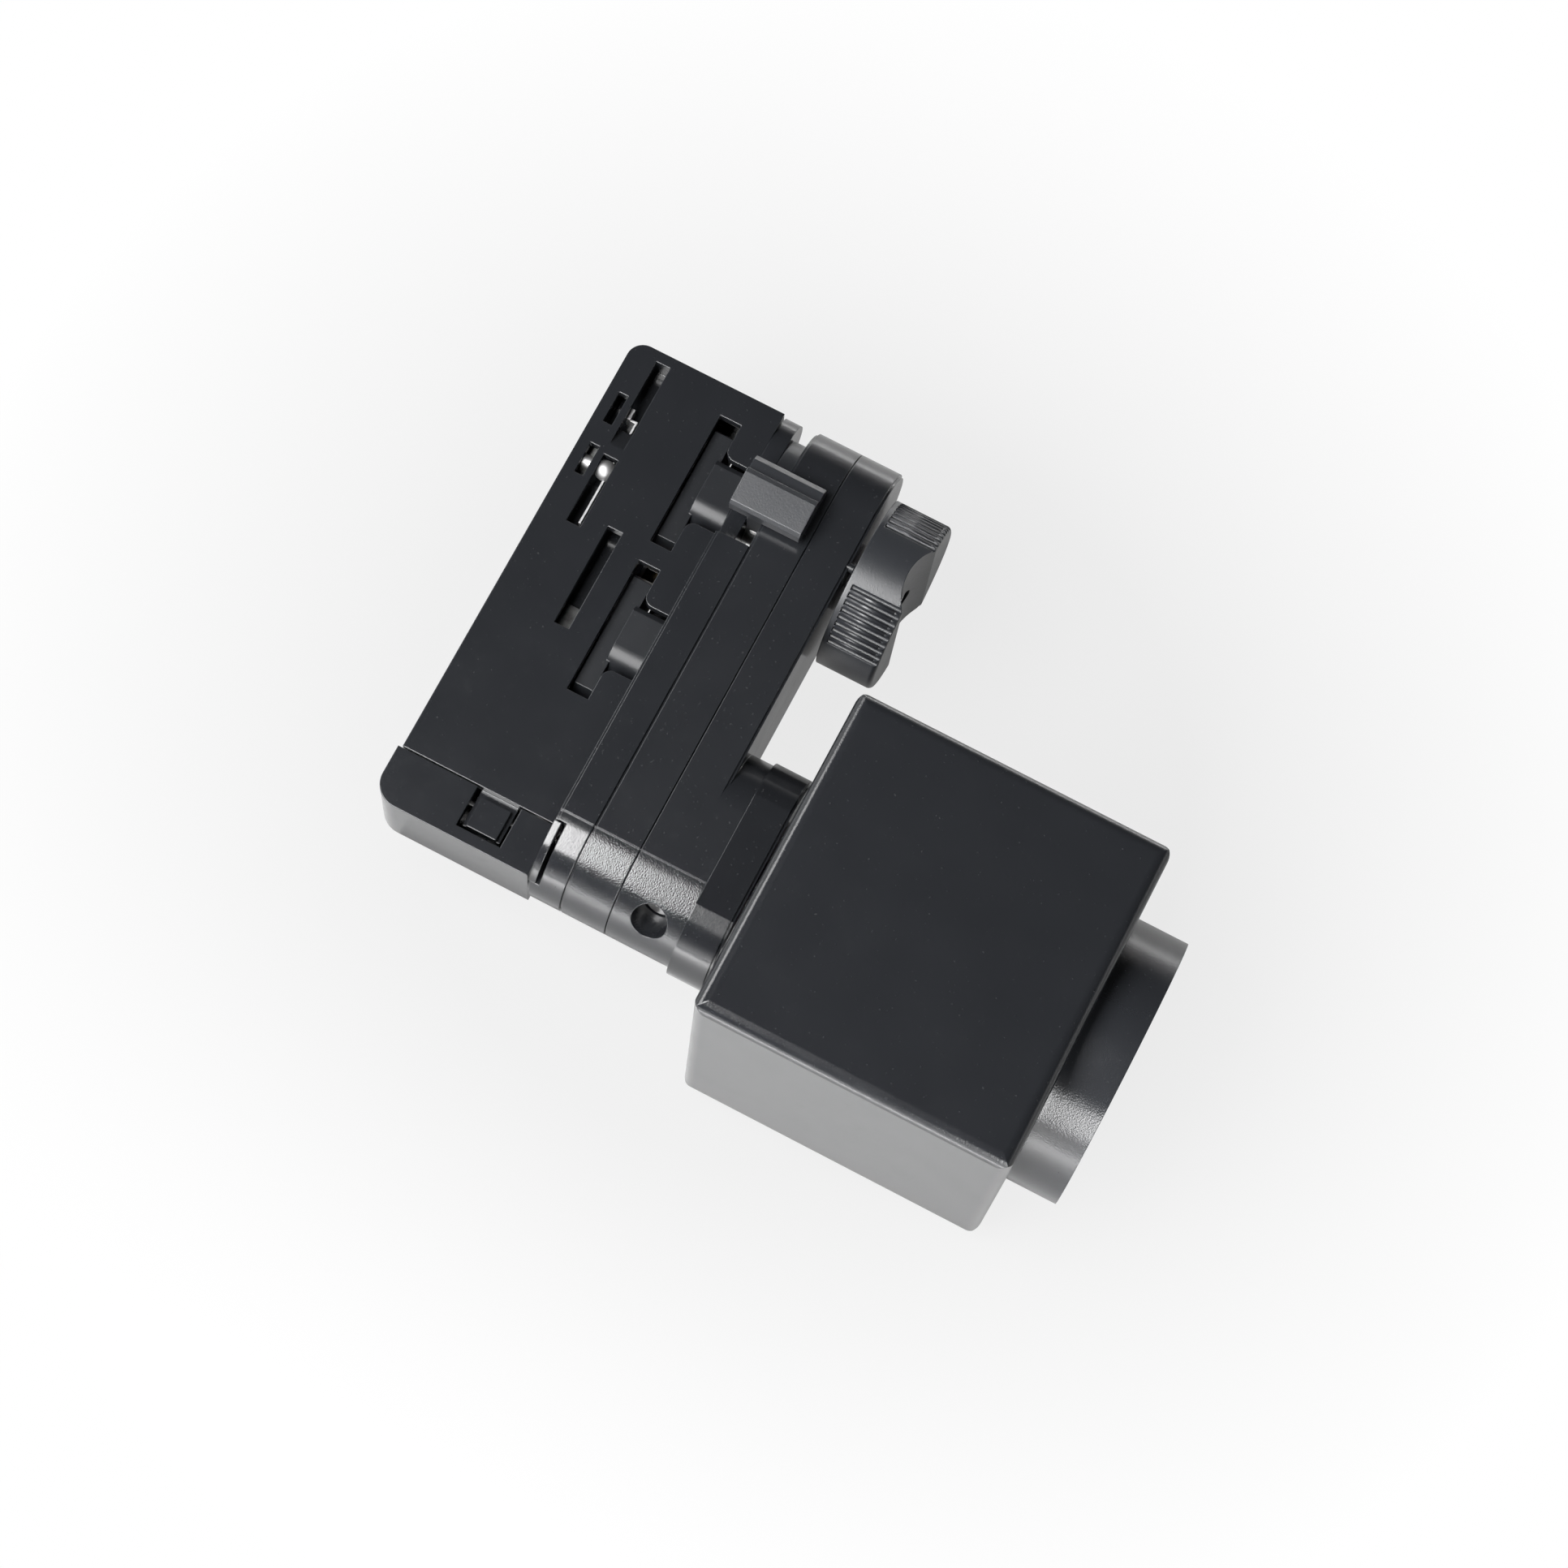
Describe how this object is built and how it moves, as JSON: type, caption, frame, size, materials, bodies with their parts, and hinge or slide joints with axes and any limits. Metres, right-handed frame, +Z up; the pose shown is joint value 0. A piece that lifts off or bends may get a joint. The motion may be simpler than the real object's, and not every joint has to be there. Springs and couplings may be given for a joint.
{
  "type": "track light adapter",
  "caption": "Three-circuit track adapter with selector knob, locking lever, swinging contact arms and a swivelling box head that ends in an earthed two-pin socket.",
  "frame": {"origin": "on the head's swivel axis, in the plane of the shoulder that seats under the track", "axes": "+Z up into the track, along the swivel axis; +X along the track towards the selector knob; the thumb tab of the lever is on the -Y side at rest"},
  "size_m": [0.092, 0.052, 0.114],
  "materials": {
    "cover_plastic": "smooth satin",
    "base_plastic": "fine spark-eroded",
    "control_plastic": "satin",
    "rotor_plastic": "satin",
    "head_plastic": "semi-matte",
    "socket_plastic": "fine spark-eroded",
    "washer_plastic": "smooth",
    "wire_sheath": "smooth",
    "zinc_steel": "zinc plated",
    "brass": "plain",
    "tinned_spring": "tinned"
  },
  "bodies": {
    "housing": {"track_frame": "cover_plastic", "side_cover": "cover_plastic", "end_cap": "cover_plastic", "base_upper": "base_plastic", "base_lower": "base_plastic", "neck_block": "base_plastic", "base_screws": "zinc_steel", "set_screw": "zinc_steel", "hollow_nipple": "zinc_steel", "nipple_nut": "brass", "swivel_nut": "brass", "friction_washer": "washer_plastic", "supply_wires": "wire_sheath", "line_contact": "tinned_spring", "neutral_contact": "tinned_spring", "earth_contact": "tinned_spring"},
    "selector": {"selector_knob": "control_plastic", "selector_shaft": "zinc_steel", "knob_screw": "zinc_steel", "contact_rotor_a": "rotor_plastic", "rotor_a_tips": "brass"},
    "rotor_b": {"contact_rotor_b": "rotor_plastic", "rotor_b_tips": "brass"},
    "link": {"link_bar": "rotor_plastic"},
    "lever": {"lock_lever": "control_plastic"},
    "head": {"swivel_disc": "rotor_plastic", "head_box": "head_plastic", "head_lid": "head_plastic", "lid_screws": "zinc_steel", "socket_body": "socket_plastic", "socket_screws": "zinc_steel", "pin_sleeves": "brass", "terminal_screws": "zinc_steel", "earth_clip": "tinned_spring", "socket_insert": "socket_plastic"}
  },
  "joints": [
    {"name": "head_swivel", "type": "hinge", "parent": "housing", "child": "head", "pos_m": [0, 0, -0.031], "axis": [0, 0, 1], "range_deg": [-175, 175]},
    {"name": "selector_turn", "type": "hinge", "parent": "housing", "child": "selector", "pos_m": [0.0485, 0, -0.025], "axis": [0, 0, 1], "range_deg": [0, 90]},
    {"name": "rotor_b_turn", "type": "hinge", "parent": "housing", "child": "rotor_b", "pos_m": [0.0227, 0, 0.003], "axis": [0, 0, 1], "range_deg": [0, 90]},
    {"name": "link_pivot", "type": "hinge", "parent": "selector", "child": "link", "pos_m": [0.05076, 0.00226, 0.0093], "axis": [0, 0, 1], "range_deg": [-90, 0]},
    {"name": "lever_turn", "type": "hinge", "parent": "housing", "child": "lever", "pos_m": [0.0549, 0, -0.004], "axis": [0, 0, 1], "range_deg": [0, 90]}
  ],
  "couplings": [
    {"joint": "rotor_b_turn", "follows": "selector_turn", "ratio": 1},
    {"joint": "link_pivot", "follows": "selector_turn", "ratio": -1}
  ]
}
